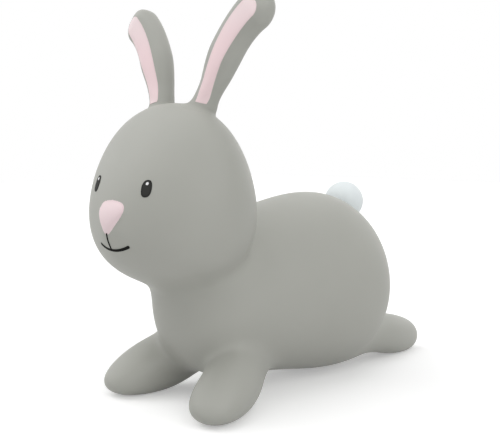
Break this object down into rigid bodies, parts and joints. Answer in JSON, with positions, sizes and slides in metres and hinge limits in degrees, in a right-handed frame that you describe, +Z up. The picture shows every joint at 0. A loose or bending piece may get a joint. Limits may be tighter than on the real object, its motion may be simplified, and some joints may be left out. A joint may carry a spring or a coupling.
{
  "type": "animal hopper",
  "caption": "Inflatable ride-on rabbit hopper with a plump trunk, egg-shaped head, bendable ear grips, stub legs, a ball tail and a push-in air valve.",
  "frame": {"origin": "on the floor under the middle of the bounding box", "axes": "+Z up, the nose points to -Y, the left side of the animal is +X"},
  "size_m": [0.2738, 0.6258, 0.5438],
  "materials": {
    "grey_pvc": "matt moulded soft PVC",
    "white_pvc": "matt moulded soft PVC, sprayed white",
    "pink_paint": "matt sprayed paint",
    "dark_paint": "satin printed paint",
    "white_paint": "satin printed paint",
    "valve_plastic": "smooth moulded plastic"
  },
  "bodies": {
    "skin": {"trunk_shell": "grey_pvc", "head_shell": "grey_pvc", "foreleg_left": "grey_pvc", "foreleg_right": "grey_pvc", "hindleg_left": "grey_pvc", "hindleg_right": "grey_pvc", "tail_ball": "white_pvc", "nose": "pink_paint", "eye_left": "dark_paint", "eye_right": "dark_paint", "mouth": "dark_paint", "eye_glint_left": "white_paint", "eye_glint_right": "white_paint", "valve_seat": "valve_plastic"},
    "ear_left": {"ear_left": "grey_pvc", "inner_ear_left": "pink_paint"},
    "ear_right": {"ear_right": "grey_pvc", "inner_ear_right": "pink_paint"},
    "stopper": {"valve_stopper": "valve_plastic"}
  },
  "joints": [
    {"name": "ear_left_flex", "type": "hinge", "parent": "skin", "child": "ear_left", "pos_m": [0.0457, -0.1818, 0.4045], "axis": [-1, 0, 0], "range_deg": [-25, 30], "stiffness_Nm_per_rad": 1.5},
    {"name": "ear_right_flex", "type": "hinge", "parent": "skin", "child": "ear_right", "pos_m": [-0.0457, -0.1818, 0.4045], "axis": [-1, 0, 0], "range_deg": [-25, 30], "stiffness_Nm_per_rad": 1.5},
    {"name": "stopper_pull", "type": "slide", "parent": "skin", "child": "stopper", "axis": [0, 0.996, -0.0888], "range_m": [0, 0.03]}
  ]
}
